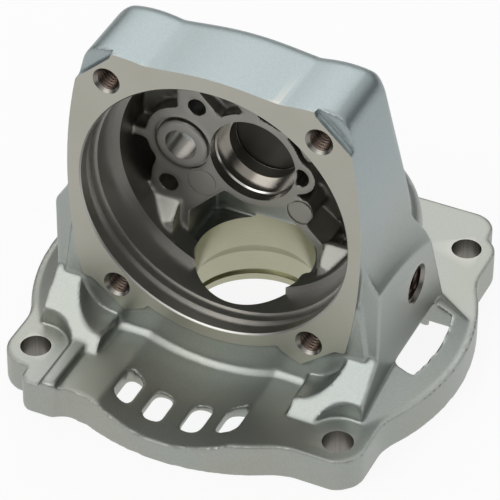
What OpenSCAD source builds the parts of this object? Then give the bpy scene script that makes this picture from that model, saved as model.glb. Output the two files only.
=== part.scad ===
// Gearbox housing of a right-angle grinder, die cast in one piece.
// It stands on its motor flange. The motor axis is the vertical line through the origin, and the
// spindle axis is the line along y at the height spindle_h. Sizes are in millimetres.

/* [Motor flange] */
// Radius of the round fan ring
ring_r = 45; // [43:0.5:47]
// Thickness of the flange at its screw lugs
flange_t = 7.5; // [6.5:0.1:9]
// Distance between the flange screws across the housing
lug_pitch_x = 65.4; // [64:0.1:67]
// Distance between the flange screws from front to back
lug_pitch_y = 64.8; // [64:0.1:67]
// Radius of the lug round each flange screw
lug_r = 5.8; // [5:0.1:6.5]
// Diameter of the flange screw holes
lug_hole_d = 6.2; // [5:0.1:7]
// Radius of the flat that is cleared for each screw head
screw_head_r = 6.9; // [6:0.1:8]
// Reach of the flange behind the motor axis
back_reach = 44.3; // [42:0.1:46]
// Half the width of the flange along its back edge
back_half_w = 35.3; // [33:0.1:37]
// Radius of the hollow blends between the ring and the lugs
lug_blend_r = 12; // [6:0.5:16]

/* [Front web] */
// Radius of the trough in the web, about the spindle axis
trough_r = 38.15; // [37.6:0.05:38.6]
// Width of each vent slot
slot_w = 4.2; // [3:0.1:4.6]
// Distance of the two inner slots from the middle
slot_near_x = 4.2; // [3.6:0.1:5]
// Distance of the two outer slots from the middle
slot_far_x = 11.25; // [10:0.05:12]
// Distance of the slots' inner ends from the motor axis, in the middle
slot_in_y = 32; // [31:0.1:34]
// Distance of the slots' outer ends from the motor axis, in the middle
slot_out_y = 39.9; // [38:0.1:40.6]
// Radius of the arc that the slots' ends follow
slot_arc_r = 36; // [30:1:50]
// Cut across the slots' corners
slot_cut = 1.1; // [0.5:0.1:1.6]
// Height of the rib beside the front left lug
rib_z = 8.7; // [8:0.1:10]
// Width of that rib on its top
rib_w = 2.6; // [1.5:0.1:4]

/* [Motor bore] */
// Diameter of the seat for the pinion bearing
seat_d = 28; // [26:0.1:30]
// Height of the bearing seat
seat_h = 8; // [6:0.1:9]
// Diameter of the bore above the seat
neck_d = 24.2; // [20:0.1:25]
// Height of the coned shoulder over the seat
shoulder_h = 3; // [2:0.1:4]
// Height at which the bore opens into the pinion space
neck_top = 18.3; // [17:0.1:20]
// Depth of the snap ring groove
groove_deep = 0.8; // [0.4:0.1:1.2]
// Width of the snap ring groove
groove_w = 1.3; // [0.8:0.1:1.8]
// Height of the snap ring groove over the flange's underside
groove_z = 2; // [1.5:0.1:3]

/* [Gear case] */
// Height of the spindle axis
spindle_h = 43; // [42.5:0.1:44]
// Distance of the milled front face from the motor axis
front_y = 20; // [19.5:0.1:21]
// Distance of the cast wall under the bore from the motor axis
wall_y = 19.4; // [19.1:0.1:19.7]
// Distance of the side blocks' front and of the steps at the face's corners from the motor axis
cast_y = 18.6; // [18:0.1:19]
// Half the width of the milled face at the spindle
face_half_w = 31; // [30.5:0.1:32]
// Radius of the bulging sides
side_bulge_r = 115; // [100:5:200]
// Height of the roof's middle arch
roof_z = 74.8; // [74:0.1:77]
// Radius of the roof's middle arch
arch_r = 60; // [50:1:90]
// Height of the roof's corners
corner_z = 74.2; // [73:0.1:76]
// Radius of the roof's rounded outer corners
corner_r = 5; // [4:0.1:6]
// Height of the cut across each corner of the milled face, at the side
cut_low_z = 66.2; // [64:0.1:68]
// Distance of the same cut from the middle, at the roof
cut_top_x = 21; // [19:0.1:23]
// Distance of the head's back from the motor axis, at the roof
back_y = 0.5; // [0:0.1:1.5]
// Lean of the head's back, degrees
back_lean = 11.5; // [8:0.5:14]
// Radius of the rounding between the roof and the back
roof_round_r = 5.5; // [3:0.5:6]
// Radius of the rounding between the sides and the back
side_round_r = 6; // [5:0.1:7]
// Thickness of the head's back wall
back_t = 2.6; // [2.2:0.1:3.2]
// Distance of the bearing dome's top from the motor axis
dome_y = 11; // [10:0.1:13]
// Radius of the bearing dome
dome_r = 27; // [24:1:32]
// Diameter of the gear bore's front register
register_d = 56.4; // [55:0.1:57]
// Depth of the register
register_deep = 6.5; // [5:0.1:8]
// Diameter of the turned gear space
gear_d = 55.6; // [54:0.1:56]
// Depth of the turned gear space under the milled face
gear_deep = 13; // [11:0.1:14]
// Diameter of the cast space behind it
cast_d = 52.4; // [50:0.1:54]
// Distance of the bearing plate's face from the milled face
plate_deep = 18.4; // [17:0.1:19]

/* [Cover screws] */
// Distance between the two upper cover screws
screw_top_w = 44; // [43:0.1:45]
// Distance between the two lower cover screws
screw_low_w = 41.5; // [41:0.1:43]
// Distance between the upper and lower cover screws
screw_rise = 49.4; // [48:0.1:50]
// Core diameter of the cover screws' threads
screw_core_d = 4.3; // [3.5:0.1:4.6]
// Depth of the cover screws' threads
screw_deep = 12; // [8:0.5:14]
// Diameter of the countersink at each thread
screw_sink_d = 5.7; // [5:0.1:6.4]
// Radius of the space that is kept clear in front of the lower cover screws
cover_clear_r = 8.1; // [7.2:0.1:8.6]

/* [Spindle bearing and lock pin] */
// Diameter of the spindle's upper bearing seat
spindle_seat_d = 17.8; // [17:0.1:18]
// Diameter of the wider mouth in front of the seat
spindle_mouth_d = 18.4; // [18.2:0.1:18.8]
// Depth of that mouth from the bearing plate
spindle_mouth_deep = 2.2; // [1.5:0.1:2.8]
// Depth of the seat's end from the bearing plate
spindle_seat_deep = 5.6; // [4.5:0.1:6.5]
// Diameter of the blind hole behind the seat
spindle_hole_d = 15.2; // [13:0.1:16]
// Depth of that hole from the bearing plate
spindle_hole_deep = 9; // [7.5:0.1:9.5]
// Outer radius of the bearing boss
spindle_boss_r = 11; // [10.4:0.1:11.6]
// Distance of the lock pin from the spindle
lock_x = 15.1; // [14.8:0.1:15.6]
// Diameter of the lock pin's hole
lock_d = 6.8; // [5:0.1:7.2]
// Radius of the lock pin's boss
lock_boss_r = 8.2; // [7.4:0.1:8.8]
// Radius of the raised pad round the lock pin's hole
lock_pad_r = 5.6; // [4.8:0.1:6.4]
// Height of that pad
lock_pad_h = 0.9; // [0.5:0.1:1.5]
// Radius of the button recess on the back
button_r = 5.6; // [5:0.1:5.8]
// Depth that the wall keeps at the button recess
button_wall = 5.3; // [4:0.1:6]

/* [Side handle blocks] */
// Distance of each side face from the middle
block_x = 34.8; // [34.2:0.1:35.4]
// Height of the handle hole
handle_z = 23.2; // [22:0.1:24]
// Core diameter of the handle hole's thread
handle_core_d = 7; // [6:0.1:8.4]
// Depth of the handle hole
handle_deep = 15; // [12:0.5:17]
// Diameter of the countersink at the handle hole
handle_sink_d = 8; // [7.6:0.1:9]
// Height of the block's front upper corner
block_z = 33.5; // [32:0.1:34.5]
// Height of the gusset where it meets the block
gusset_z = 18; // [17:0.1:19]
// Distance of the gusset's foot from the motor axis
gusset_y = 30; // [29:0.1:31]
// Distance of the gusset's inner side from the middle
gusset_x = 20.7; // [20:0.1:21.5]

/* [Fan space] */
// Radius of the hub round the motor bore
hub_r = 20.4; // [20:0.1:21]
// Inner radius of the fan ring
fan_r = 41; // [40.5:0.1:42]
// Height of the fan space under the web
fan_z = 3.6; // [3:0.1:3.8]
// Height of the cored pockets beside the hub
core_z = 12; // [9:0.5:14]
// Outer radius of the round back of the body
back_r = 33; // [32:0.1:34]
// Height at which the round back turns in
back_z = 28; // [26:0.5:30]
// Radius of its shoulder
back_shoulder_r = 4; // [3:0.5:6]
// Half the length of each exhaust window
window_half = 10; // [8:0.5:10.5]
// Radius of the windows' outer edge from the motor axis
window_r = 40; // [39:0.5:40.4]
// Height of the windows' upper edge on the side face
window_z = 10.6; // [9.5:0.1:11]

/* [Hidden] */
$fn = 48;
fine = 96;
eps = 0.5;
bite = 0.03;
lug_x = lug_pitch_x / 2;
lug_y = lug_pitch_y / 2;
seat_r = seat_d / 2;
neck_r = neck_d / 2;
register_r = register_d / 2;
gear_r = gear_d / 2;
cast_r = cast_d / 2;
plate_y = -front_y + plate_deep;
gear_back_y = -front_y + gear_deep;
screw_top_z = spindle_h + screw_rise / 2;
screw_low_z = spindle_h - screw_rise / 2;
lock_z = spindle_h - 0.3;
lobe_r = 20;
foot_w = 1.3;
lobe_x = 20.6;
far_r = 80;
body_color = "#a9aca3";

// Extrudes a drawing of x and height along y, from y0 to y1
module along_y(y0, y1) {
    translate([0, y1, 0]) rotate([90, 0, 0]) linear_extrude(y1 - y0) children();
}

// Extrudes a drawing of y and height along x, from x0 to x1
module along_x(x0, x1) {
    translate([x0, 0, 0]) rotate([90, 0, 90]) linear_extrude(x1 - x0) children();
}

// The same thing on the left and on the right
module both_sides() {
    children();
    mirror([1, 0, 0]) children();
}

// A straight round bore or boss along y
module y_round(r, y0, y1, x, z) {
    along_y(y0, y1) translate([x, z]) circle(r = r);
}

// The coned mouth of a bore in the milled face
module y_sink(r_in, r_out, x, z) {
    translate([x, -front_y + (r_out - r_in), z]) rotate([90, 0, 0])
        cylinder(h = r_out - r_in + eps, r1 = r_in, r2 = r_out + eps);
}

// A rectangle with round corners, centred
module round_plate(w, h, r) {
    square([w - 2 * r, h], center = true);
    square([w, h - 2 * r], center = true);
    for (x = [-1, 1], y = [-1, 1])
        translate([x * (w / 2 - r), y * (h / 2 - r)]) circle(r = r);
}

// Hollow blend between the ring and one straight lug side that lies at the distance h
module lug_blend(h) {
    c = sqrt(pow(ring_r + lug_blend_r, 2) - pow(h + lug_blend_r, 2));
    t = (ring_r - 3) / (ring_r + lug_blend_r);
    difference() {
        polygon([[c, h - 1], [c, h + lug_blend_r], [t * c, t * (h + lug_blend_r)], [t * c, h - 1]]);
        translate([c, h + lug_blend_r]) circle(r = lug_blend_r + bite, $fn = fine);
    }
}

// Plan of the whole flange
module flange_plan() {
    front_h = lug_y + lug_r;
    side_h = lug_x + lug_r;
    circle(r = ring_r);
    round_plate(2 * side_h, 2 * front_h, lug_r);
    translate([0, back_reach / 2]) round_plate(2 * back_half_w, back_reach, 5);
    translate([-27.3, -36]) round_plate(8, 13.4, 2.4);
    polygon([[-26, -42.7], [-24, -42.6], [-21.5, -41.2], [-17, -41.6], [-17, -34], [-26, -34]]);
    both_sides() mirror([0, 1, 0]) lug_blend(front_h);
    both_sides() for (k = [0, 1]) mirror([0, k, 0]) rotate(90) mirror([0, 1, 0]) lug_blend(side_h);
}

// Rib that runs from the left gusset to the flange's front edge
module front_rib() {
    along_x(-26 - eps, -26 + rib_w)
        polygon([[-42.7, 1], [-42.7, rib_z - 0.6], [-42.1, rib_z], [-28.4, rib_z], [-28.4, 1]]);
}

// Plan of the head's two bulging sides
module side_plan() {
    bulge_x = side_bulge_r - face_half_w;
    intersection() {
        translate([bulge_x, spindle_h]) circle(r = side_bulge_r, $fn = 160);
        translate([-bulge_x, spindle_h]) circle(r = side_bulge_r, $fn = 160);
        translate([-far_r, screw_low_z]) square(2 * far_r);
    }
}

// Rounded roof with its arch in the middle and a lobe at each corner
module roof() {
    low_z = roof_z - 2.1;
    roof_disc(arch_r, 0, roof_z - arch_r, -15, 15);
    both_sides() roof_disc(lobe_r, lobe_x, corner_z - lobe_r, 12, 40);
    along_y(-front_y, back_y + 8) translate([-far_r, 0]) square([2 * far_r, low_z - roof_round_r]);
    along_x(-far_r, far_r)
        translate([back_y - roof_round_r, low_z - roof_round_r]) circle(r = roof_round_r);
    along_y(-front_y, back_y - roof_round_r) translate([-far_r, 0]) square([2 * far_r, low_z]);
}

// Distance of the head's leaning back from the motor axis at the height z
function back_y_at(z) =
    back_y - roof_round_r + roof_round_r / cos(back_lean) + (roof_z - roof_round_r - z) * tan(back_lean);

// Everything in front of the head's leaning back, moved in by inset
module back_side(inset) {
    along_x(-far_r, far_r)
        polygon([[-far_r, 0], [-far_r, far_r], [back_y_at(far_r) - inset, far_r],
                 [back_y_at(0) - inset, 0]]);
}

// Disc that makes one arch of the roof, rounded at the back; it lies at x and z, from x0 to x1
module roof_disc(r_disc, x, z, x0, x1) {
    r = roof_round_r;
    intersection() {
        translate([x, 0, z]) rotate([90, 0, 0]) rotate_extrude($fn = fine) {
            translate([0, -back_y]) square([r_disc - r, front_y + back_y]);
            translate([0, r - back_y]) square([r_disc, front_y + back_y - r]);
            translate([r_disc - r, r - back_y]) circle(r = r);
        }
        along_y(-front_y, back_y + 1) translate([x0, spindle_h]) square([x1 - x0, far_r]);
    }
}

// Where the roundings of the head's right upper corner meet: its x, y and z
corner_x = lobe_x + 2.27;
corner_at_z = corner_z - corner_r - 0.17;
corner_y = back_y_at(corner_at_z) - corner_r / cos(back_lean);

// What rounds the edge between the right side and the leaning back
module side_round() {
    turn_z = 58;
    side_lean = 7.5;
    side_x = 30.1;
    translate([side_x, back_y_at(turn_z), turn_z]) rotate([0, -side_lean, 0]) rotate([back_lean, 0, 0])
        translate([-side_round_r, -side_round_r, -far_r / 2]) linear_extrude(far_r) difference() {
            square(far_r);
            circle(r = side_round_r - bite, $fn = fine);
        }
}

// What rounds the right corner between the side and the roof
module corner_round() {
    side_slope = 0.24;
    roof_slope = 0.15;
    difference() {
        along_y(-front_y - eps, far_r) translate([corner_x, corner_at_z])
            polygon([[0, 0], [far_r, side_slope * far_r], [far_r, far_r], [roof_slope * far_r, far_r]]);
        translate([corner_x, corner_y, corner_at_z]) rotate([-90, 0, 0]) rotate_extrude() {
            translate([0, -far_r]) square([corner_r - bite, far_r]);
            intersection() {
                circle(r = corner_r - bite);
                square(far_r);
            }
        }
    }
}

// Plan of the pointed boss round the lower right cover screw
module low_boss_plan() {
    translate([screw_low_w / 2, screw_low_z])
        polygon([[-8, 2], [-6, -4], [-1.6, -5.9], [7.2, 1.4], [8.6, 8], [0, 12]]);
}

// Head that holds the gear bore
module head() {
    difference() {
        intersection() {
            roof();
            along_y(-front_y, 12) side_plan();
            back_side(0);
        }
        both_sides() {
            corner_round();
            side_round();
        }
    }
    along_y(-front_y, 0) intersection() {
        translate([0, spindle_h]) circle(r = face_half_w, $fn = fine);
        translate([-far_r, 0]) square([2 * far_r, screw_low_z + 1.7]);
    }
    both_sides() along_y(-front_y, 0) low_boss_plan();
    // Dome over the spindle bearing
    intersection() {
        translate([0, dome_y - dome_r, spindle_h - 1]) sphere(r = dome_r, $fn = 72);
        y_round(far_r, 0, dome_y + 1, 0, spindle_h);
    }
}

// Round back of the body under the crown, turned about the motor axis
module round_back() {
    neck_slope = 16;
    sx = back_r - back_shoulder_r;
    tx = sx + back_shoulder_r * sin(neck_slope);
    tz = back_z + back_shoulder_r * cos(neck_slope);
    intersection() {
        rotate_extrude() {
            square([sx, back_z]);
            square([back_r, back_z]);
            polygon([[0, 1], [sx, 1], [sx, back_z], [tx, tz], [0, tz + tx * tan(neck_slope)]]);
            translate([sx, back_z]) circle(r = back_shoulder_r);
        }
        translate([-far_r, -cast_y, 0]) cube([2 * far_r, 2 * far_r, far_r]);
    }
}

// Block that carries one side handle, with the cove that runs up to the head
module handle_block() {
    sweep_r = 60;
    cove_r = 15;
    cove_drop = 10.5;
    edge_y = 9;
    edge_lean = 21.8;
    edge_cut_x = 8;
    edge_cut_y = 6;
    foot_y = 15.2;
    intersection() {
        // The side face ends in a long arc, and the cove follows it
        translate([0, 1 - cast_y, block_z - sweep_r]) rotate([0, 90, 0]) rotate_extrude($fn = 240)
            difference() {
                square([sweep_r + cove_drop, block_x]);
                translate([sweep_r + cove_drop, face_half_w + cove_r]) circle(r = cove_r, $fn = fine);
            }
        // The back edge leans and is cut across
        translate([0, edge_y, handle_z + 0.8]) rotate([edge_lean, 0, 0]) translate([0, 0, -far_r])
            linear_extrude(2 * far_r)
                polygon([[0, -far_r], [block_x, -far_r], [block_x, 0], [block_x - edge_cut_x, edge_cut_y],
                         [0, edge_cut_y]]);
        // Side view, with the back falling from the head to the flange
        along_x(0, block_x)
            polygon([[-cast_y, 1], [-cast_y, far_r], [2.5, far_r], [3.2, 44.6], [4.5, 36], [8.4, 29.2],
                     [12, 24.5], [foot_y, 12], [foot_y, 1]]);
    }
}

// Sloping gusset between a block and its front lug
module gusset() {
    along_x(gusset_x, block_x)
        polygon([[-cast_y + 1, gusset_z + 0.9], [-gusset_y, flange_t], [-gusset_y, 1], [-cast_y + 1, 1]]);
}

// Sloping wall from the ring up to a side face, which runs out on the flange behind the window
module side_ramp() {
    inner_r = 28;
    outer_r = ring_r - 0.6;
    low_z = flange_t - 0.3;
    high_z = flange_t + 4;
    end_x = 36;
    end_y = 15.4;
    end_turn = -34;
    end_run = 12;
    intersection() {
        rotate_extrude($fn = fine)
            polygon([[inner_r, 1], [outer_r, 1], [outer_r, low_z], [block_x, high_z],
                     [inner_r, high_z + 1.4]]);
        linear_extrude(30)
            polygon([[face_half_w, -27], [far_r, -27], [far_r, 30], [face_half_w, 30]]);
        // The end behind the window falls to the flange at 45 degrees
        translate([end_x, end_y, 0]) rotate([0, 0, end_turn]) along_x(-far_r, far_r)
            polygon([[2, 0], [2, flange_t - 2], [-end_run, flange_t + end_run], [-far_r, flange_t + end_run],
                     [-far_r, 0]]);
    }
}

// Front wall of the body under the gear bore, with a narrow slope along its foot
module front_wall() {
    foot_x = 13.8;
    along_y(-wall_y, 0) polygon([[-block_x, 1], [block_x, 1], [block_x - 4, 30], [-block_x + 4, 30]]);
    both_sides() along_x(foot_x, gusset_x + 1)
        polygon([[-wall_y + 1, 3], [-wall_y - foot_w, 3], [-wall_y - foot_w, flange_t],
                 [-wall_y, flange_t + foot_w], [-wall_y + 1, flange_t + foot_w]]);
    intersection() {
        translate([0, 0, spindle_h]) rotate([90, 0, 0]) rotate_extrude($fn = fine)
            polygon([[trough_r - foot_w, wall_y - 1], [trough_r - foot_w, wall_y],
                     [trough_r + 1, wall_y + foot_w + 1], [trough_r + 1, wall_y - 1]]);
        along_y(-far_r, 0) translate([-foot_x - 0.3, 0]) square([2 * foot_x + 0.6, flange_t + 2]);
    }
}

// All of the outside
module outside() {
    difference() {
        linear_extrude(flange_t) flange_plan();
        y_round(trough_r, -far_r, -wall_y, 0, spindle_h);
    }
    front_rib();
    front_wall();
    difference() {
        both_sides() {
            gusset();
            side_ramp();
        }
        both_sides() {
            y_round(cover_clear_r, -far_r, -cast_y, screw_low_w / 2, screw_low_z);
            translate([lug_x, -lug_y, flange_t]) cylinder(r = screw_head_r, h = 30);
        }
    }
    both_sides() handle_block();
    round_back();
    head();
}

// Plan of the plate that carries the spindle bearing and the lock pin
module plate_plan() {
    translate([0, spindle_h]) circle(r = spindle_boss_r);
    translate([-lock_x, lock_z]) circle(r = lock_boss_r);
    // Bridge between the two bosses
    translate([-lock_x, spindle_h - 8]) square([lock_x, 16]);
    // Ribs to the wall, above and beside the lock pin
    translate([-lock_x - 1.3, lock_z + 4]) square([5.2, 30]);
    polygon([[-11.4, 56], [-6.6, 51], [-6.6, 45], [-12, 45]]);
    translate([-35, lock_z - 1.5]) square([20, 2.1]);
    // Arched field above the spindle
    polygon([[-8, 60], [-1.9, 53.6], [2, 47], [12.6, 46.7], [15.5, 56], [12, 70], [-8, 70]]);
    // Frame of the pinion window
    polygon([[-22, 34.4], [-20.6, 38], [0, 38], [0, 30], [-15.6, 20], [-15.6, 10], [-22.5, 10],
             [-22.5, 30]]);
    polygon([[0, 30], [0, 38], [12, 37], [13.1, 34], [11.6, 31], [15.8, 27], [15.8, 10], [14, 10]]);
    translate([10.4, 33.9]) circle(r = 2.6);
    translate([9.4, spindle_h - 0.9]) circle(r = 4);
}

// Plan of the window through which the pinion meets the gear
module window_plan() {
    half = seat_r;
    difference() {
        polygon([[-half, neck_top - 0.6], [-half, 25.7], [-6.2, 33.6], [6.2, 33.6], [half, 25.7],
                 [half, neck_top - 0.6]]);
        translate([0, spindle_h]) circle(r = spindle_boss_r);
    }
}

// Stepped gear bore, with the cast space and its pockets behind
module gear_space() {
    difference() {
        union() {
            y_round(register_r, -front_y - eps, -front_y + register_deep, 0, spindle_h);
            y_sink(register_r, register_r + 0.7, 0, spindle_h);
            y_round(register_r + 0.7, -front_y + 2.6, -front_y + 4.4, 0, spindle_h);
            y_round(gear_r, -front_y, gear_back_y, 0, spindle_h);
            intersection() {
                y_round(cast_r, -front_y, dome_y, 0, spindle_h);
                back_side(back_t);
            }
        }
        along_y(plate_y, dome_y) plate_plan();
        // Sloping blocks beside the pinion window
        both_sides() along_x(15.6, 22.6)
            polygon([[plate_y + 1, 28.2], [plate_y, 28.2], [plate_y - 3.6, 24.4], [plate_y - 3.6, 8],
                     [plate_y + 1, 8]]);
        // Pad round the lock pin's hole
        y_round(lock_pad_r, plate_y - lock_pad_h, plate_y + 1, -lock_x, lock_z);
    }
}

// One curved slot beside the bearing boss, between two angles
module boss_slot(a0, a1) {
    along_y(plate_y - eps, plate_y + 4) translate([0, spindle_h]) intersection() {
        difference() {
            circle(r = spindle_boss_r + 0.7);
            circle(r = spindle_boss_r - 0.3);
        }
        polygon([[0, 0], [30 * cos(a0), 30 * sin(a0)], [30 * cos(a1), 30 * sin(a1)]]);
    }
}

// Bores and core holes in the bearing plate
module plate_holes() {
    y_round(spindle_seat_d / 2, plate_y - eps, plate_y + spindle_seat_deep, 0, spindle_h);
    y_round(spindle_hole_d / 2, plate_y - eps, plate_y + spindle_hole_deep, 0, spindle_h);
    y_round(spindle_mouth_d / 2, plate_y - eps, plate_y + spindle_mouth_deep, 0, spindle_h);
    y_round(lock_d / 2, plate_y - 2, dome_y, -lock_x, lock_z);
    y_round(button_r, plate_y + button_wall, dome_y + 5, -lock_x, lock_z);
    y_round(1.8, plate_y - eps, plate_y + 5, -12, spindle_h + 9.2);
    y_round(2, plate_y - eps, plate_y + 5, -18.3, spindle_h - 11.3);
    y_round(2.1, plate_y - eps, plate_y + 5, 9.8, spindle_h - 0.8);
    boss_slot(84, 56);
    boss_slot(47, 18);
}

// Space of the pinion behind the window
module pinion_space() {
    along_y(plate_y - eps, 11) window_plan();
}

// Motor bore with the bearing seat, its groove and the coned shoulder
module motor_bore() {
    translate([0, 0, -1]) cylinder(r = seat_r, h = seat_h + 1);
    translate([0, 0, -1]) cylinder(h = 1.6, r1 = seat_r + 1.6, r2 = seat_r);
    translate([0, 0, groove_z]) cylinder(r = seat_r + groove_deep, h = groove_w);
    translate([0, 0, seat_h]) cylinder(h = shoulder_h, r1 = seat_r, r2 = neck_r);
    cylinder(r = neck_r, h = neck_top + 1);
}

// Threads' cores in the milled face
module cover_screw(x, z) {
    y_round(screw_core_d / 2, -front_y - eps, -front_y + screw_deep, x, z);
    y_sink(screw_core_d / 2, screw_sink_d / 2, x, z);
}

// Hole for a side handle
module handle_hole() {
    core_r = handle_core_d / 2;
    sink_r = handle_sink_d / 2;
    translate([block_x + eps, 0, handle_z]) rotate([0, -90, 0]) cylinder(r = core_r, h = handle_deep + eps);
    translate([block_x - (sink_r - core_r), 0, handle_z]) rotate([0, 90, 0])
        cylinder(h = sink_r - core_r + eps, r1 = core_r, r2 = sink_r + eps);
}

// Plan of one vent slot at the distance x from the middle, with its ends along the arc
module slot_plan(x) {
    w = slot_w / 2;
    c = slot_cut;
    lift = x * x / (2 * slot_arc_r);
    lean = x / slot_arc_r;
    translate([x, lift])
        polygon([[-w + c, -slot_out_y - lean * (w - c)], [w - c, -slot_out_y + lean * (w - c)],
                 [w, -slot_out_y + c + lean * w], [w, -slot_in_y - c + lean * w],
                 [w - c, -slot_in_y + lean * (w - c)], [-w + c, -slot_in_y - lean * (w - c)],
                 [-w, -slot_in_y - c - lean * w], [-w, -slot_out_y + c - lean * w]]);
}

// Vent slots through the front web
module vent_slots() {
    translate([0, 0, -1]) linear_extrude(flange_t + 4)
        for (x = [-slot_far_x, -slot_near_x, slot_near_x, slot_far_x]) slot_plan(x);
}

// Round fan space under the flange, with the cored pockets beside the hub
module fan_space() {
    core_wall = 4.5;
    difference() {
        union() {
            translate([0, 0, -1]) cylinder(r = fan_r, h = fan_z + 1);
            intersection() {
                translate([0, 0, -1]) cylinder(r = back_r - core_wall, h = core_z + 1);
                translate([-far_r, -wall_y + core_wall, -1]) cube([2 * far_r, 2 * far_r, 60]);
            }
        }
        translate([0, 0, -2]) cylinder(r = hub_r, h = 40);
        for (a = [25:65:155]) rotate(a) translate([hub_r - 1, -0.9, -2]) cube([16, 1.8, 60]);
    }
}

// Exhaust window and the duct that leads to it
module exhaust() {
    intersection() {
        translate([0, 0, -1]) cylinder(r = window_r, h = 40);
        union() {
            translate([26, -window_half, -1]) cube([far_r, 2 * window_half, window_z + 1]);
            translate([block_x, -window_half, -1]) cube([far_r, 2 * window_half, 20]);
            translate([26, 0, -1]) cube([far_r, 14.5, flange_t - 1]);
        }
    }
}

// Step that leaves the cast wall bare at the right upper corner of the milled face
module corner_step() {
    side_x = face_half_w - 2.2;
    top_z = roof_z - 1.4;
    along_y(-front_y - eps, -cast_y)
        polygon([[side_x, cut_low_z], [cut_top_x, top_z], [cut_top_x, 2 * far_r], [far_r, 2 * far_r],
                 [far_r, cut_low_z - far_r + side_x]]);
}

module gearbox_housing() {
    color(body_color) difference() {
        outside();
        gear_space();
        plate_holes();
        pinion_space();
        motor_bore();
        both_sides() {
            cover_screw(screw_top_w / 2, screw_top_z);
            cover_screw(screw_low_w / 2, screw_low_z);
            handle_hole();
            exhaust();
            corner_step();
        }
        for (x = [-1, 1], y = [-1, 1])
            translate([x * lug_x, y * lug_y, -1]) cylinder(d = lug_hole_d, h = flange_t + 20);
        vent_slots();
        fan_space();
    }
}

gearbox_housing();
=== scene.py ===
"""Looks of the gearbox housing of a right-angle grinder.

The housing is one aluminium die casting. Its skin is blasted, and the faces and bores that locate other
parts are machined into it. The script makes it in that order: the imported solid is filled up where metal
is cut away later, its edges are rounded like a casting's, and then every machined feature is cut.
Sizes are in millimetres and are turned to metres where a mesh is made.
"""

from math import cos, pi, radians, sin

import bmesh
import bpy
import numpy as np
from mathutils import Matrix, Vector

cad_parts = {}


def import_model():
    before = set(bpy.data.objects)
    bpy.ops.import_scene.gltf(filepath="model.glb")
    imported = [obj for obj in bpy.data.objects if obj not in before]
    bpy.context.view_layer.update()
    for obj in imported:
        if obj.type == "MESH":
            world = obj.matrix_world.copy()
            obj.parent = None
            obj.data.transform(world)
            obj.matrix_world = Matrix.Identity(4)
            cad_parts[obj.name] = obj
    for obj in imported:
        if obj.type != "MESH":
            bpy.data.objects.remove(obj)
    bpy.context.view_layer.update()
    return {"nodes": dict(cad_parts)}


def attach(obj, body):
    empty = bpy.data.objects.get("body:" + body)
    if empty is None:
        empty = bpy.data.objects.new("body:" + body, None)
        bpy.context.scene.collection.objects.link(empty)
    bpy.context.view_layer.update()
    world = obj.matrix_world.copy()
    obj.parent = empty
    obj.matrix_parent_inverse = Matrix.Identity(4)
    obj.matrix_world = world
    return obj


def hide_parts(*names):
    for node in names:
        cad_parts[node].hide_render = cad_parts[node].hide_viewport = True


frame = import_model()

MM = 0.001

# Sizes of the machined features, as in the part's source
FRONT_Y = -20.0
SPINDLE_Z = 43.0
REGISTER_R = 28.2
REGISTER_DEEP = 6.5
SEAL_GROOVE_R = 28.9
SEAL_GROOVE_FROM = 2.6
SEAL_GROOVE_TO = 4.4
GEAR_R = 27.8
GEAR_BACK_Y = -7.0
CAST_R = 26.2
PLATE_Y = -1.6
BACK_Y = 0.6
BACK_TOP_Z = 69.3
BACK_SLOPE = 0.2035
BACK_WALL = 2.6
SEAT_R = 14.0
SEAT_TOP_Z = 8.0
SNAP_GROOVE_R = 14.8
SNAP_GROOVE_LOW_Z = 2.0
SNAP_GROOVE_TOP_Z = 3.3
SHOULDER_TOP_Z = 11.0
NECK_R = 12.1
NECK_TOP = 18.3
SPINDLE_MOUTH_R = 9.2
SPINDLE_MOUTH_DEEP = 2.2
SEAT_SPINDLE_R = 8.9
SEAT_SPINDLE_DEEP = 5.6
SPINDLE_HOLE_R = 7.6
SPINDLE_HOLE_DEEP = 9.0
LOCK_X = -15.1
LOCK_Z = 42.7
LOCK_R = 3.4
LOCK_PAD_R = 5.6
LOCK_WALL = 5.0
COVER_SCREWS = [(-22.0, 67.7), (22.0, 67.7), (-20.75, 18.3), (20.75, 18.3)]
COVER_SCREW_DEEP = 12.0
COVER_THREAD_R = (2.1, 2.5)
COVER_PITCH = 0.8
HANDLE_Z = 23.2
HANDLE_X = 34.8
HANDLE_DEEP = 15.0
HANDLE_THREAD_R = (3.4, 4.0)
HANDLE_PITCH = 1.25
LUG_X = 32.7
LUG_Y = 32.4
LUG_HOLE_R = 3.1
FLANGE_T = 7.5
FLANGE_CLEAR_Z = 11.0

# What the milling cutter and the turning tool take off the casting
MILL_ALLOWANCE = 1.3
TURN_ALLOWANCE = 1.2
# How far the fills lap into the metal round a hole, and how far a cutting tool starts outside it
LAP = 0.7
OUTSIDE = 1.0

# Size of the grid that the casting is drawn on, and how often its edges are softened
VOXEL = 0.38
EDGE_PASSES = 4
CAST_TRIANGLES = 150000

# How often the wide faces are evened out, and the turn in degrees that counts as one face
FAIR_PASSES = 80
FAIR_TURN = 8
# Share of the way that a point moves, and that it moves back in the next pass
FAIR_PUSH = 0.6
FAIR_PULL = 0.58
# An edge that turns by more than this, in degrees, is shaded as sharp
SHARP_TURN = 32

# The two hollows in the roof: their distance from the middle, and half the slope's turn in them
HOLLOW_X = 14
HOLLOW_TURN = 0.28
# Roundness of the hollows as packed, and as they are cast
HOLLOW_TIGHT = 0.7
HOLLOW_SOFT = 2.6
# How far to each side the blend reaches, and the height above which it is made
HOLLOW_REACH = 6
HOLLOW_FROM_Z = 66


# Meshes

def mesh_object(name, mesh):
    """Puts a mesh into the scene as an object at the origin."""
    obj = bpy.data.objects.new(name, mesh)
    bpy.context.scene.collection.objects.link(obj)
    return obj


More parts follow.
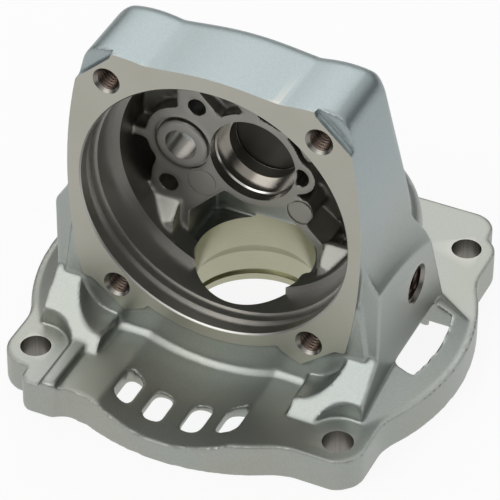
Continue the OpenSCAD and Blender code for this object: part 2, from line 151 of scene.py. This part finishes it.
def object_from(name, bm):
    """Turns a bmesh into an object, with its faces pointing outwards."""
    bmesh.ops.recalc_face_normals(bm, faces=bm.faces)
    mesh = bpy.data.meshes.new(name)
    bm.to_mesh(mesh)
    bm.free()
    return mesh_object(name, mesh)


def turned(name, profile, axis, steps=128):
    """A closed solid turned from a profile of (radius, distance along the axis) in millimetres.

    A profile that is not a ring starts and ends on the axis. The matrix axis carries the turning axis z to
    its place in the housing.
    """
    verts = []
    rings = []
    for r, z in profile:
        count = steps if r > 0 else 1
        rings.append([len(verts) + k for k in range(count)])
        verts += [(r * cos(2 * pi * k / steps) * MM, r * sin(2 * pi * k / steps) * MM, z * MM)
                  for k in range(count)]
    faces = []
    for low, high in zip(rings, rings[1:] + rings[:1]):
        if len(low) == 1 and len(high) == 1:
            continue
        for k in range(steps):
            corners = [low[k % len(low)], low[(k + 1) % len(low)], high[(k + 1) % len(high)],
                       high[k % len(high)]]
            faces.append(list(dict.fromkeys(corners)))
    mesh = bpy.data.meshes.new(name)
    mesh.from_pydata(verts, [], faces)
    mesh.transform(axis)
    bm = bmesh.new()
    bm.from_mesh(mesh)
    return object_from(name, bm)


def prism(name, outline, y0, y1):
    """A straight solid along y between y0 and y1, from an outline of (x, z) in millimetres."""
    bm = bmesh.new()
    face = bm.faces.new([bm.verts.new((x * MM, y0 * MM, z * MM)) for x, z in outline])
    pulled = bmesh.ops.extrude_face_region(bm, geom=[face])
    verts = [v for v in pulled["geom"] if isinstance(v, bmesh.types.BMVert)]
    bmesh.ops.translate(bm, verts=verts, vec=(0, (y1 - y0) * MM, 0))
    return object_from(name, bm)


def threaded_rod(name, radii, pitch, length, axis):
    """A rod with a V thread between two radii, used as the tap that cuts a threaded hole."""
    minor, major = radii
    around, rings_a_pitch = 36, 6
    rings = int(length / pitch * rings_a_pitch)
    verts = []
    for i in range(rings + 1):
        z = length * i / rings
        for k in range(around):
            turn = (z / pitch - k / around) % 1.0
            crest = 1 - abs(2 * turn - 1)
            # The V is a little steeper than its pitch, which leaves a flat at its root and its crest
            r = minor + (major - minor) * min(1.0, max(0.0, 1.35 * crest - 0.15))
            a = 2 * pi * k / around
            verts.append((r * cos(a) * MM, r * sin(a) * MM, z * MM))
    faces = []
    for i in range(rings):
        for k in range(around):
            n = (k + 1) % around
            faces.append((i * around + k, i * around + n, (i + 1) * around + n, (i + 1) * around + k))
    faces.append(tuple(range(around))[::-1])
    faces.append(tuple(rings * around + k for k in range(around)))
    mesh = bpy.data.meshes.new(name)
    mesh.from_pydata(verts, [], faces)
    mesh.transform(axis)
    mesh.validate()
    return mesh_object(name, mesh)


def along_y(x, z, y=0.0):
    """Places a turned solid so that its axis z runs along the housing's +y, through (x, z)."""
    return Matrix.Translation((x * MM, y * MM, z * MM)) @ Matrix.Rotation(radians(-90), 4, "X")


def along_x(side, y, z, x):
    """Places a turned solid so that its axis z runs from the side face inwards; side is 1 or -1."""
    turn = Matrix.Rotation(radians(-90 * side), 4, "Y")
    return Matrix.Translation((side * x * MM, y * MM, z * MM)) @ turn


def along_z(x=0.0, y=0.0, z=0.0):
    """Places a turned solid upright at (x, y), from the height z."""
    return Matrix.Translation((x * MM, y * MM, z * MM))


def disc(r, depth):
    """Profile of a plain round bore of radius r and the given depth."""
    return [(0, 0), (r, 0), (r, depth), (0, depth)]


def ring(r_in, r_out, z0, z1):
    """Profile of a plain ring."""
    return [(r_in, z0), (r_out, z0), (r_out, z1), (r_in, z1)]


def cone(r_low, r_top, z0, z1):
    """Profile of a countersink that is r_low wide at z0 and r_top wide at z1."""
    return [(0, z0), (r_low, z0), (r_top, z1), (0, z1)]


def apply_modifiers(obj):
    """Replaces an object's mesh with what its modifiers make of it."""
    graph = bpy.context.evaluated_depsgraph_get()
    graph.update()
    mesh = bpy.data.meshes.new_from_object(obj.evaluated_get(graph))
    obj.modifiers.clear()
    obj.data = mesh


def combine(target, tools, operation):
    """Adds the tools to the target or cuts them out of it, and deletes them."""
    for tool in tools:
        step = target.modifiers.new(tool.name, "BOOLEAN")
        step.operation = operation
        step.solver = "MANIFOLD"
        step.object = tool
        step.material_mode = "TRANSFER"
        apply_modifiers(target)
        bpy.data.objects.remove(tool)


# Casting

def cast_blank(node):
    """The housing as it would leave the die, with metal wherever it is machined later."""
    blank = mesh_object("casting", node.data.copy())
    bm = bmesh.new()
    bm.from_mesh(blank.data)
    bmesh.ops.remove_doubles(bm, verts=bm.verts, dist=1e-7)
    for vert in bm.verts:
        if abs(vert.co.y - FRONT_Y * MM) < 1e-6 and vert.co.z > FLANGE_CLEAR_Z * MM:
            vert.co.y -= MILL_ALLOWANCE * MM
    bm.to_mesh(blank.data)
    bm.free()
    blank.data.materials.clear()
    blank_y = FRONT_Y - MILL_ALLOWANCE
    cover_r, handle_r = COVER_THREAD_R[1] + 0.5, HANDLE_THREAD_R[1] + 0.4
    fills = [
        turned("gear_ring", ring(CAST_R, SEAL_GROOVE_R + LAP, blank_y, GEAR_BACK_Y + 0.2),
               along_y(0, SPINDLE_Z)),
        turned("motor_ring", ring(NECK_R - TURN_ALLOWANCE, SEAT_R + 2.4, 0, NECK_TOP), along_z()),
        turned("spindle_fill", disc(SEAT_SPINDLE_R + LAP, SPINDLE_HOLE_DEEP),
               along_y(0, SPINDLE_Z, PLATE_Y)),
        turned("lock_fill", disc(LOCK_R + LAP, LOCK_WALL), along_y(LOCK_X, LOCK_Z, PLATE_Y - 0.9)),
    ]
    for n, (x, z) in enumerate(COVER_SCREWS):
        fills.append(turned("cover_fill_%d" % n, disc(cover_r, COVER_SCREW_DEEP + MILL_ALLOWANCE),
                            along_y(x, z, blank_y)))
    for side in (-1, 1):
        fills.append(turned("handle_fill_%d" % side, disc(handle_r, HANDLE_DEEP + 1),
                            along_x(side, 0, HANDLE_Z, HANDLE_X)))
        for y in (-LUG_Y, LUG_Y):
            fills.append(turned("lug_fill_%d_%d" % (side, y), disc(LUG_HOLE_R + 0.3, FLANGE_T),
                                along_z(side * LUG_X, y)))
    combine(blank, fills, "UNION")
    return blank


def read_vectors(items, field):
    """One vector of each item, as the rows of an array."""
    values = np.empty(len(items) * 3)
    items.foreach_get(field, values)
    return values.reshape(-1, 3)


def fair(mesh, passes, soft_turn):
    """Evens out the wide curved faces, which come in as flat facets, and leaves every real edge.

    Each vertex moves along its own normal towards its neighbours, but only those whose normals turn by less
    than about soft_turn degrees count.
    """
    count = len(mesh.vertices)
    points = read_vectors(mesh.vertices, "co")
    ends = np.empty(len(mesh.edges) * 2, dtype=np.int64)
    mesh.edges.foreach_get("vertices", ends)
    a, b = ends.reshape(-1, 2).T
    start, other = np.concatenate([a, b]), np.concatenate([b, a])
    spread = 1 - cos(radians(soft_turn))
    for step in range(passes):
        mesh.vertices.foreach_set("co", points.ravel())
        mesh.update()
        normals = read_vectors(mesh.vertices, "normal")
        turn = 1 - np.einsum("ij,ij->i", normals[start], normals[other])
        weight = np.exp(-turn / spread)
        away = np.einsum("ij,ij->i", points[other] - points[start], normals[start]) * weight
        total = np.bincount(start, weight, count)
        lift = np.bincount(start, away, count) / np.maximum(total, 1e-9)
        # Every second pass pushes back, so that round forms don't shrink
        strength = FAIR_PUSH if step % 2 == 0 else -FAIR_PULL
        points += strength * lift[:, None] * normals
    mesh.vertices.foreach_set("co", points.ravel())
    mesh.update()


def soften_hollows(mesh):
    """Fills the roof's two hollows a little, so that the arch and the lobes run into each other softly."""
    points = read_vectors(mesh.vertices, "co")
    up = read_vectors(mesh.vertices, "normal")[:, 2]
    d = np.abs(points[:, 0] / MM) - HOLLOW_X
    fill = HOLLOW_TURN * (np.hypot(d, HOLLOW_SOFT) - np.hypot(d, HOLLOW_TIGHT))
    fill *= np.exp(-(d / HOLLOW_REACH) ** 2) * np.maximum(up, 0)
    fill[points[:, 2] < HOLLOW_FROM_Z * MM] = 0
    points[:, 2] += fill * MM
    mesh.vertices.foreach_set("co", points.ravel())
    mesh.update()


def round_edges(cast):
    """Rounds every edge and fills every corner a little, as in a die casting."""
    remesh = cast.modifiers.new("remesh", "REMESH")
    remesh.mode = "VOXEL"
    remesh.voxel_size = VOXEL * MM
    soften = cast.modifiers.new("soften", "SMOOTH")
    soften.factor = 0.5
    soften.iterations = EDGE_PASSES
    apply_modifiers(cast)
    soften_hollows(cast.data)
    fair(cast.data, FAIR_PASSES, FAIR_TURN)
    count = sum(len(p.vertices) - 2 for p in cast.data.polygons)
    thin = cast.modifiers.new("thin", "DECIMATE")
    thin.ratio = min(1.0, CAST_TRIANGLES / count)
    apply_modifiers(cast)


def in_gear_space(place):
    """True for a point in millimetres that lies inside the gear space, in front of the head's back wall."""
    x, y, z = place
    wall_middle = BACK_Y + (BACK_TOP_Z - z) * BACK_SLOPE - BACK_WALL / 2
    inside = x * x + (z - SPINDLE_Z) ** 2 < (CAST_R + 1) ** 2
    return inside and GEAR_BACK_Y - 1 < y < wall_middle


def paint_cast(cast, finish):
    """Gives the casting its blasted skin outside and its bare skin in the gear space."""
    cast.data.materials.clear()
    cast.data.materials.append(finish["blasted"])
    cast.data.materials.append(finish["bare"])
    for face in cast.data.polygons:
        face.material_index = 1 if in_gear_space(face.center / MM) else 0


# Machining

def face_outline():
    """Outline of the milled face, a little larger than the face itself."""
    low_r, side_x, boss_top_z = 31.7, 31.9, 17.6
    # The cut across each upper corner, and a roof that lies well outside the housing
    cut = [(29.3, 67.6), (20.6, 75.4)]
    over = [(20.6, 78), (0, 79)]
    right = [(low_r * sin(radians(a)), SPINDLE_Z - low_r * cos(radians(a))) for a in range(0, 37, 4)]
    right += [(side_x, boss_top_z), (side_x, 60)] + cut + over
    left = [(-x, z) for x, z in right[::-1] if x > 0.01]
    return right + left


def boss_outline(side):
    """Outline of the pointed boss round a lower cover screw, a little larger than its face."""
    x, z = COVER_SCREWS[2]
    corners = [(-8.4, 2.2), (-6.4, -4.5), (-1.7, -6.7), (7.7, 0.9), (9.2, 8.0), (0, 12)]
    return [(side * (abs(x) + dx), z + dz) for dx, dz in corners]


def plate_marks(material):
    """Thin grooves in the bearing plate: the die's inserts and its round ejector pins leave them."""
    ring_w, ring_deep = 0.45, 0.35
    marks = [("lock_insert", LOCK_X, LOCK_Z, LOCK_PAD_R, ring_deep),
             ("ejector_low", -10.8, 34.3, 2.8, 0.12),
             ("ejector_right", 10.4, 33.9, 2.45, 0.3)]
    return [(turned(name, ring(r, r + ring_w, PLATE_Y - 3, PLATE_Y + deep), along_y(x, z), 96), material)
            for name, x, z, r, deep in marks]


def machine(cast, finish):
    """Cuts every machined feature into the casting, in the finish of its tool."""
    milled = finish["milled"]
    cuts = [(prism("face_cut", face_outline(), FRONT_Y - 4, FRONT_Y), milled)]
    for side in (-1, 1):
        cuts.append((prism("boss_cut_%d" % side, boss_outline(side), FRONT_Y - 4, FRONT_Y), milled))
    cuts += bore_tools(finish)
    cuts += plate_marks(finish["bare"])
    cuts += screw_tools(finish)
    for tool, material in cuts:
        tool.data.materials.clear()
        tool.data.materials.append(material)
    combine(cast, [tool for tool, material in cuts], "DIFFERENCE")


def bore_tools(finish):
    """What turns the gear bore, the motor bore and the two small bores in the bearing plate."""
    tools = []
    # Register, its undercut, the gear space and the shoulder behind it
    gear_lead, groove_from, groove_to = 0.3, FRONT_Y + SEAL_GROOVE_FROM, FRONT_Y + SEAL_GROOVE_TO
    register_y = FRONT_Y + REGISTER_DEEP
    gear_steps = [(0, FRONT_Y - OUTSIDE), (REGISTER_R + OUTSIDE + gear_lead, FRONT_Y - OUTSIDE),
                  (REGISTER_R, FRONT_Y + gear_lead), (REGISTER_R, groove_from),
                  (SEAL_GROOVE_R, groove_from), (SEAL_GROOVE_R, groove_to), (REGISTER_R, groove_to),
                  (REGISTER_R, register_y), (GEAR_R, register_y), (GEAR_R, GEAR_BACK_Y),
                  (0, GEAR_BACK_Y)]
    tools.append((turned("gear_bore", gear_steps, along_y(0, SPINDLE_Z), 192), finish["turned"]))
    # Bearing seat with its snap ring groove, the coned shoulder and the bore above it
    seat_lead, neck_end = 0.6, NECK_TOP + 0.9
    motor_steps = [(0, -OUTSIDE), (SEAT_R + OUTSIDE + seat_lead, -OUTSIDE), (SEAT_R, seat_lead),
                   (SEAT_R, SNAP_GROOVE_LOW_Z), (SNAP_GROOVE_R, SNAP_GROOVE_LOW_Z),
                   (SNAP_GROOVE_R, SNAP_GROOVE_TOP_Z), (SEAT_R, SNAP_GROOVE_TOP_Z),
                   (SEAT_R, SEAT_TOP_Z), (NECK_R, SHOULDER_TOP_Z), (NECK_R, neck_end), (0, neck_end)]
    tools.append((turned("motor_bore", motor_steps, along_z(), 160), finish["reamed"]))
    # Blind spindle seat behind its mouth; the drill leaves the duller floor, whose dark colour is painted
    # shade deep in the blind hole
    plate = along_y(0, SPINDLE_Z, PLATE_Y)
    mouth_lead, floor_skin, before_plate = 0.3, 0.4, -0.8
    fine_end = SPINDLE_HOLE_DEEP - floor_skin
    spindle_steps = [(0, before_plate), (SPINDLE_MOUTH_R, before_plate),
                     (SPINDLE_MOUTH_R, SPINDLE_MOUTH_DEEP),
                     (SEAT_SPINDLE_R, SPINDLE_MOUTH_DEEP + mouth_lead),
                     (SEAT_SPINDLE_R, SEAT_SPINDLE_DEEP), (SPINDLE_HOLE_R, SEAT_SPINDLE_DEEP),
                     (SPINDLE_HOLE_R, fine_end), (0, fine_end)]
    tools.append((turned("spindle_bore", spindle_steps, plate), finish["seat"]))
    tools.append((turned("spindle_floor", disc(SPINDLE_HOLE_R - 0.02, SPINDLE_HOLE_DEEP), plate),
                  finish["dull"]))
    tools.append((turned("lock_bore", disc(LOCK_R, 9), along_y(LOCK_X, LOCK_Z, PLATE_Y - 2), 64),
                  finish["bored"]))
    return tools


def screw_tools(finish):
    """What countersinks and taps the screw holes, and drills the flange holes."""
    bored, tapped = finish["bored"], finish["tapped"]
    tools = []
    # A tap starts this far behind its face, inside the countersink
    tap_in = 0.2
    for n, (x, z) in enumerate(COVER_SCREWS):
        sink = cone(3.45, 2.05, -0.6, 0.8)
        tools.append((turned("cover_sink_%d" % n, sink, along_y(x, z, FRONT_Y), 64), bored))
        tools.append((threaded_rod("cover_tap_%d" % n, COVER_THREAD_R, COVER_PITCH, COVER_SCREW_DEEP,
                                   along_y(x, z, FRONT_Y + tap_in)), tapped))
    for side in (-1, 1):
        face = along_x(side, 0, HANDLE_Z, HANDLE_X)
        sink = cone(4.95, 3.35, -0.7, 0.9)
        tools.append((turned("handle_sink_%d" % side, sink, face, 64), bored))
        behind_face = along_x(side, 0, HANDLE_Z, HANDLE_X - tap_in)
        tools.append((threaded_rod("handle_tap_%d" % side, HANDLE_THREAD_R, HANDLE_PITCH,
                                   HANDLE_DEEP - 0.3, behind_face), tapped))
        for y in (-LUG_Y, LUG_Y):
            tools.append((turned("lug_bore_%d_%d" % (side, y), disc(LUG_HOLE_R, FLANGE_T + 4),
                                 along_z(side * LUG_X, y, -2), 64), bored))
    return tools


def shade(obj):
    """Smooth shading, with a hard edge where two finishes meet or the surface turns sharply."""
    bm = bmesh.new()
    bm.from_mesh(obj.data)
    for face in bm.faces:
        face.smooth = True
    for edge in bm.edges:
        if len(edge.link_faces) != 2:
            continue
        a, b = edge.link_faces
        flat = edge.calc_face_angle(0) < radians(SHARP_TURN)
        edge.smooth = flat and a.material_index == b.material_index
    bm.to_mesh(obj.data)
    bm.free()


# Materials

def srgb(code):
    """Linear colour from an sRGB hex code."""
    parts = [int(code[i:i + 2], 16) / 255 for i in (1, 3, 5)]
    return [c / 12.92 if c <= 0.04045 else ((c + 0.055) / 1.055) ** 2.4 for c in parts] + [1.0]


def add(tree, kind, settings=None, links=None, **fields):
    """Adds a node with its settings by socket name, its links into sockets and its own fields."""
    node = tree.nodes.new(kind)
    for name, value in fields.items():
        setattr(node, name, value)
    for name, value in (settings or {}).items():
        node.inputs[name].default_value = value
    for name, source in (links or {}).items():
        tree.links.new(source, node.inputs[name])
    return node


def new_material(name):
    """An empty node material and its output node."""
    material = bpy.data.materials.new(name)
    material.use_nodes = True
    tree = material.node_tree
    tree.nodes.clear()
    return material, tree, tree.nodes.new("ShaderNodeOutputMaterial")


def blasted_casting():
    """Die-cast aluminium, blasted: a soft satin skin with a fine grain and slow changes of tone."""
    material, tree, out = new_material("blasted_cast_aluminium")
    place = add(tree, "ShaderNodeTexCoord").outputs["Object"]
    # The tone drifts at random in drifts of about 25 mm, and turns warmer towards the thin flange and bluer
    # up the head
    drift = add(tree, "ShaderNodeTexNoise", {"Scale": 1 / (25 * MM), "Detail": 2.0}, {"Vector": place})
    height = add(tree, "ShaderNodeMapRange",
                 {"From Min": 5 * MM, "From Max": 75 * MM, "To Min": -0.3, "To Max": 0.7},
                 {"Value": add(tree, "ShaderNodeSeparateXYZ", None, {0: place}).outputs["Z"]})
    blend = add(tree, "ShaderNodeMath", None, {0: drift.outputs["Fac"], 1: height.outputs[0]},
                operation="ADD", use_clamp=True)
    tone = add(tree, "ShaderNodeMix", {6: srgb("#a0a198"), 7: srgb("#9ea8a9")}, {0: blend.outputs[0]},
               data_type="RGBA")
    # Blasting grit leaves dents about 0.1 mm wide, drawn at 0.3 mm so that they show
    grit = add(tree, "ShaderNodeTexNoise", {"Scale": 1 / (0.3 * MM), "Detail": 2.0}, {"Vector": place})
    speck = add(tree, "ShaderNodeMapRange",
                {"From Min": 0.3, "From Max": 0.7, "To Min": 0.93, "To Max": 1.06},
                {"Value": grit.outputs["Fac"]})
    grained = add(tree, "ShaderNodeMix", {0: 1.0}, {6: tone.outputs[2], 7: speck.outputs[0]},
                  data_type="RGBA", blend_type="MULTIPLY")
    # Edges are lighter: partly rubbed bright in the tumbler, partly a painted highlight along the rounded
    # edges
    form = add(tree, "ShaderNodeNewGeometry")
    rub_and_highlight = add(tree, "ShaderNodeMapRange",
              {"From Min": 0.52, "From Max": 0.62, "To Min": 0.0, "To Max": 0.75},
              {"Value": form.outputs["Pointiness"]})
    rubbed_and_highlit = add(tree, "ShaderNodeMix", {7: srgb("#c4c1ba")}, {0: rub_and_highlight.outputs[0], 6: grained.outputs[2]},
                 data_type="RGBA")
    bump = add(tree, "ShaderNodeBump", {"Strength": 0.28, "Distance": 0.05 * MM},
               {"Height": grit.outputs["Fac"]})
    skin = add(tree, "ShaderNodeBsdfPrincipled", {"Metallic": 1.0, "Roughness": 0.42},
               {"Base Color": rubbed_and_highlit.outputs[2], "Normal": bump.outputs["Normal"]})
    tree.links.new(skin.outputs["BSDF"], out.inputs["Surface"])
    return material


def bare_casting():
    """Die-cast aluminium as it left the die, inside the gear space: darker, smoother and mottled."""
    material, tree, out = new_material("as_cast_aluminium")
    place = add(tree, "ShaderNodeTexCoord").outputs["Object"]
    # Release agent leaves stains a few millimetres wide
    stain = add(tree, "ShaderNodeTexNoise", {"Scale": 1 / (6 * MM), "Detail": 4.0}, {"Vector": place})
    tone = add(tree, "ShaderNodeMix", {6: srgb("#898882"), 7: srgb("#9c9a94")}, {0: stain.outputs["Fac"]},
               data_type="RGBA")
    # The die's own fine texture is about 0.2 mm, drawn at 0.4 mm
    skin_grain = add(tree, "ShaderNodeTexNoise", {"Scale": 1 / (0.4 * MM), "Detail": 2.0}, {"Vector": place})
    bump = add(tree, "ShaderNodeBump", {"Strength": 0.25, "Distance": 0.05 * MM},
               {"Height": skin_grain.outputs["Fac"]})
    skin = add(tree, "ShaderNodeBsdfPrincipled", {"Metallic": 1.0, "Roughness": 0.42},
               {"Base Color": tone.outputs[2], "Normal": bump.outputs["Normal"]})
    tree.links.new(skin.outputs["BSDF"], out.inputs["Surface"])
    return material


def milled_face():
    """Face-milled aluminium: flat and warm grey, with the cutter's fine arcs across it."""
    material, tree, out = new_material("face_milled_aluminium")
    place = add(tree, "ShaderNodeTexCoord").outputs["Object"]
    # The cutter swings about a point outside the face; its feed marks are 0.15 mm apart, drawn at 0.45 mm
    centre = add(tree, "ShaderNodeMapping", {"Location": (0.060, 0.0, -0.100)}, {"Vector": place})
    arcs = add(tree, "ShaderNodeTexWave", {"Scale": 0.314 / (0.45 * MM), "Distortion": 1.2, "Detail": 2.0,
                                           "Detail Scale": 0.3},
               {"Vector": centre.outputs["Vector"]}, wave_type="RINGS", rings_direction="Y")
    cloud = add(tree, "ShaderNodeTexNoise", {"Scale": 1 / (12 * MM), "Detail": 3.0}, {"Vector": place})
    tone = add(tree, "ShaderNodeMix", {6: srgb("#a3a297"), 7: srgb("#b0aea4")}, {0: cloud.outputs["Fac"]},
               data_type="RGBA")
    line = add(tree, "ShaderNodeMapRange", {"To Min": 0.965, "To Max": 1.02}, {"Value": arcs.outputs["Fac"]})
    lined = add(tree, "ShaderNodeMix", {0: 1.0}, {6: tone.outputs[2], 7: line.outputs[0]},
                data_type="RGBA", blend_type="MULTIPLY")
    bump = add(tree, "ShaderNodeBump", {"Strength": 0.06, "Distance": 0.02 * MM},
               {"Height": arcs.outputs["Fac"]})
    shine = add(tree, "ShaderNodeBsdfPrincipled", {"Metallic": 1.0, "Roughness": 0.36},
                {"Base Color": lined.outputs[2], "Normal": bump.outputs["Normal"]})
    tree.links.new(shine.outputs["BSDF"], out.inputs["Surface"])
    return material


def turned_bore(name, axis, dull, bright, roughness):
    """Turned aluminium: smooth and glossy, with feed rings across the axis of the bore."""
    material, tree, out = new_material(name)
    place = add(tree, "ShaderNodeTexCoord").outputs["Object"]
    # The turning tool's feed is about 0.1 mm, drawn at 0.35 mm
    feed = add(tree, "ShaderNodeTexWave", {"Scale": 0.314 / (0.35 * MM), "Distortion": 0.6, "Detail": 2.0,
                                           "Detail Scale": 0.2},
               {"Vector": place}, wave_type="BANDS", bands_direction=axis)
    cloud = add(tree, "ShaderNodeTexNoise", {"Scale": 1 / (8 * MM), "Detail": 3.0}, {"Vector": place})
    tone = add(tree, "ShaderNodeMix", {6: srgb(dull), 7: srgb(bright)}, {0: cloud.outputs["Fac"]},
               data_type="RGBA")
    line = add(tree, "ShaderNodeMapRange", {"To Min": 0.9, "To Max": 1.06}, {"Value": feed.outputs["Fac"]})
    lined = add(tree, "ShaderNodeMix", {0: 1.0}, {6: tone.outputs[2], 7: line.outputs[0]},
                data_type="RGBA", blend_type="MULTIPLY")
    bump = add(tree, "ShaderNodeBump", {"Strength": 0.12, "Distance": 0.02 * MM},
               {"Height": feed.outputs["Fac"]})
    shine = add(tree, "ShaderNodeBsdfPrincipled", {"Metallic": 1.0, "Roughness": roughness},
                {"Base Color": lined.outputs[2], "Normal": bump.outputs["Normal"]})
    tree.links.new(shine.outputs["BSDF"], out.inputs["Surface"])
    return material


def tapped_thread():
    """Tapped aluminium: painted dark for the shade inside the screw holes, mottled at random with a warmer
    brown.
    """
    material, tree, out = new_material("tapped_aluminium")
    place = add(tree, "ShaderNodeTexCoord").outputs["Object"]
    # Painted shade: near black for the shade in the screw holes, mottled about 1.2 mm wide with a warmer
    # brown
    painted_shade_mottle = add(tree, "ShaderNodeTexNoise", {"Scale": 1 / (1.2 * MM), "Detail": 3.0}, {"Vector": place})
    tone = add(tree, "ShaderNodeMix", {6: srgb("#2e2b29"), 7: srgb("#77675c")}, {0: painted_shade_mottle.outputs["Fac"]},
               data_type="RGBA")
    tear = add(tree, "ShaderNodeTexNoise", {"Scale": 1 / (0.25 * MM), "Detail": 1.0}, {"Vector": place})
    bump = add(tree, "ShaderNodeBump", {"Strength": 0.2, "Distance": 0.03 * MM},
               {"Height": tear.outputs["Fac"]})
    shine = add(tree, "ShaderNodeBsdfPrincipled", {"Metallic": 1.0, "Roughness": 0.34},
                {"Base Color": tone.outputs[2], "Normal": bump.outputs["Normal"]})
    tree.links.new(shine.outputs["BSDF"], out.inputs["Surface"])
    return material


# Studio

def area_light(name, place, target, size, power):
    """A soft square lamp at place that points at target, in metres and watts."""
    lamp = bpy.data.lights.new(name, "AREA")
    lamp.shape = "SQUARE"
    lamp.size = size
    lamp.energy = power
    obj = bpy.data.objects.new(name, lamp)
    obj.location = place
    obj.rotation_euler = (Vector(target) - Vector(place)).to_track_quat("-Z", "Y").to_euler()
    bpy.context.scene.collection.objects.link(obj)


def camera():
    """The photograph's camera, from its fitted angles, distance and framing."""
    azimuth, elevation, roll = radians(24.87), radians(39.24), radians(-0.39)
    distance, across, upward = 709.2 * MM, -0.94 * MM, 15.17 * MM
    back = Vector((sin(azimuth) * cos(elevation), -cos(azimuth) * cos(elevation), sin(elevation)))
    right = Vector((cos(azimuth), sin(azimuth), 0))
    up = back.cross(right)
    right, up = cos(roll) * right - sin(roll) * up, sin(roll) * right + cos(roll) * up
    data = bpy.data.cameras.new("camera")
    data.sensor_width = 36
    data.lens = 3499.6 * 36 / 500
    data.clip_start = 0.01
    data.clip_end = 100
    obj = bpy.data.objects.new("camera", data)
    matrix = Matrix((right, up, back)).transposed().to_4x4()
    matrix.translation = right * across + up * upward + back * distance
    obj.matrix_world = matrix
    bpy.context.scene.collection.objects.link(obj)
    bpy.context.scene.camera = obj


def seen_rays(tree):
    """The light path node, and a node that is 1 for what the camera, the metal or glass sees."""
    rays = add(tree, "ShaderNodeLightPath")
    seen = add(tree, "ShaderNodeMath", None,
               {0: rays.outputs["Is Camera Ray"], 1: rays.outputs["Is Glossy Ray"]}, operation="MAXIMUM")
    shown = add(tree, "ShaderNodeMath", None,
                {0: seen.outputs[0], 1: rays.outputs["Is Transmission Ray"]}, operation="MAXIMUM")
    return rays, shown


def world():
    """Soft neutral room that looks white to the camera and in the metal.

    The metal also shows the room's grey wall as a soft band above the floor, which gives it its form.
    """
    room = bpy.data.worlds.new("room")
    bpy.context.scene.world = room
    room.use_nodes = True
    tree = room.node_tree
    tree.nodes.clear()
    out = tree.nodes.new("ShaderNodeOutputWorld")
    rays, shown = seen_rays(tree)
    soft = add(tree, "ShaderNodeBackground", {"Color": srgb("#ffffff"), "Strength": 0.6})
    white = add(tree, "ShaderNodeBackground", {"Color": srgb("#ffffff"), "Strength": 1.0})
    plain = add(tree, "ShaderNodeMixShader", None,
                {0: shown.outputs[0], 1: soft.outputs[0], 2: white.outputs[0]})
    # The wall is darkest up to about 17 degrees above the floor, and ends at about 37 degrees
    way = add(tree, "ShaderNodeSeparateXYZ", None,
              {0: add(tree, "ShaderNodeTexCoord").outputs["Generated"]})
    wall = add(tree, "ShaderNodeMapRange",
               {"From Min": 0.3, "From Max": 0.6, "To Min": 1.0, "To Max": 0.0},
               {"Value": way.outputs["Z"]}, interpolation_type="SMOOTHSTEP")
    in_metal = add(tree, "ShaderNodeMath", None,
                   {0: wall.outputs[0], 1: rays.outputs["Is Glossy Ray"]}, operation="MULTIPLY")
    grey = add(tree, "ShaderNodeBackground", {"Color": srgb("#38393a"), "Strength": 1.0})
    blend = add(tree, "ShaderNodeMixShader", None,
                {0: in_metal.outputs[0], 1: plain.outputs[0], 2: grey.outputs[0]})
    tree.links.new(blend.outputs[0], out.inputs["Surface"])


def floor():
    """A wide sheet of white paper under the housing, which keeps a faint share of its shadow."""
    bm = bmesh.new()
    bmesh.ops.create_grid(bm, x_segments=1, y_segments=1, size=3.0)
    obj = object_from("floor", bm)
    obj.location.z = -0.0002
    material, tree, out = new_material("white_studio_paper")
    shown = seen_rays(tree)[1]
    share = add(tree, "ShaderNodeMath", {1: 0.9}, {0: shown.outputs[0]}, operation="MULTIPLY")
    paper = add(tree, "ShaderNodeBsdfDiffuse", {"Color": srgb("#f4f4f4")})
    glow = add(tree, "ShaderNodeEmission", {"Color": srgb("#ffffff"), "Strength": 1.0})
    blend = add(tree, "ShaderNodeMixShader", None,
                {0: share.outputs[0], 1: paper.outputs[0], 2: glow.outputs[0]})
    tree.links.new(blend.outputs[0], out.inputs["Surface"])
    obj.data.materials.append(material)


# The housing and its picture

def finishes():
    """The housing's materials, by the work that leaves them; the drilled floor and the tapped threads are
    also painted dark as shade.
    """
    return {
        "blasted": blasted_casting(),
        "bare": bare_casting(),
        "milled": milled_face(),
        "turned": turned_bore("turned_aluminium", "Y", "#acaba7", "#bcbab5", 0.36),
        "reamed": turned_bore("reamed_aluminium", "Z", "#a3a38c", "#b2b19b", 0.3),
        "bored": turned_bore("countersunk_aluminium", "Y", "#7d7a74", "#918e88", 0.32),
        "seat": turned_bore("fine_bored_aluminium", "Y", "#b0ada8", "#c2beb8", 0.2),
        # The drilled floor's dark colour is painted shade; only its roughness is the drill's duller finish
        "dull": turned_bore("drilled_aluminium_painted_shade", "Z", "#4b4a46", "#57554f", 0.55),
        "tapped": tapped_thread(),
    }


def make_housing(node):
    """Casts and machines the housing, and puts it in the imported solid's place."""
    cast = cast_blank(node)
    round_edges(cast)
    finish = finishes()
    paint_cast(cast, finish)
    machine(cast, finish)
    shade(cast)
    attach(cast, "root")
    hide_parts("gearbox_housing")


def make_studio():
    """Sets up the camera, the room, the paper floor and the two lamps."""
    bpy.context.scene.view_settings.view_transform = "Standard"
    camera()
    world()
    floor()
    area_light("key", (-0.5, -1.1, 1.0), (0, 0, 0.04), 1.0, 6)
    area_light("top", (-0.5, 1.1, 1.0), (0, 0, 0.04), 1.1, 4)


make_housing(frame["nodes"]["gearbox_housing"])
make_studio()
